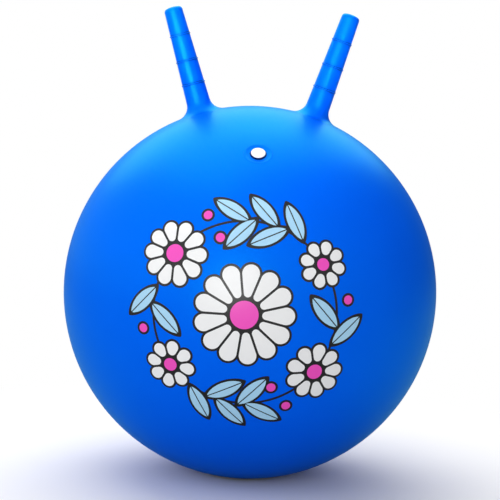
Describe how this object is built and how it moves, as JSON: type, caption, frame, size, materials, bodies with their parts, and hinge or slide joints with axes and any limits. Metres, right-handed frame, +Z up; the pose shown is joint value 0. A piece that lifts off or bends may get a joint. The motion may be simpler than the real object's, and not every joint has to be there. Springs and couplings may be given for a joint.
{
  "type": "hopper ball",
  "caption": "Inflated bouncing ball with two ribbed horn grips, a dished valve seat and a push-in plug.",
  "frame": {"origin": "on the ground, under the centre of the ball, in the middle of the flat patch that it rests on", "axes": "+Z up, between the horns; -Y towards the front, which has the valve and the printed design; the horns lean out along X, the left one towards -X"},
  "size_m": [0.4499, 0.4498, 0.5622],
  "materials": {
    "skin": "gloss",
    "plug": "satin",
    "print_white": "gloss",
    "print_pink": "gloss",
    "print_black": "gloss",
    "print_pale_blue": "gloss"
  },
  "bodies": {
    "ball": {"ball_skin": "skin", "left_horn_foot": "skin", "right_horn_foot": "skin", "valve_seat": "skin"},
    "left_horn": {"left_horn": "skin"},
    "right_horn": {"right_horn": "skin"},
    "plug": {"valve_plug": "plug"}
  },
  "joints": [
    {"name": "left_horn_flex", "type": "hinge", "parent": "ball", "child": "left_horn", "pos_m": [-0.07348, 0, 0.45409], "axis": [1, 0, 0], "range_deg": [-25, 15], "stiffness_Nm_per_rad": 3, "deforming": ["left_horn_foot"]},
    {"name": "right_horn_flex", "type": "hinge", "parent": "ball", "child": "right_horn", "pos_m": [0.07348, 0, 0.45409], "axis": [1, 0, 0], "range_deg": [-25, 15], "stiffness_Nm_per_rad": 3, "deforming": ["right_horn_foot"]},
    {"name": "plug_pull", "type": "slide", "parent": "ball", "child": "plug", "axis": [0, -0.6361, 0.7716], "range_m": [0, 0.03]}
  ]
}
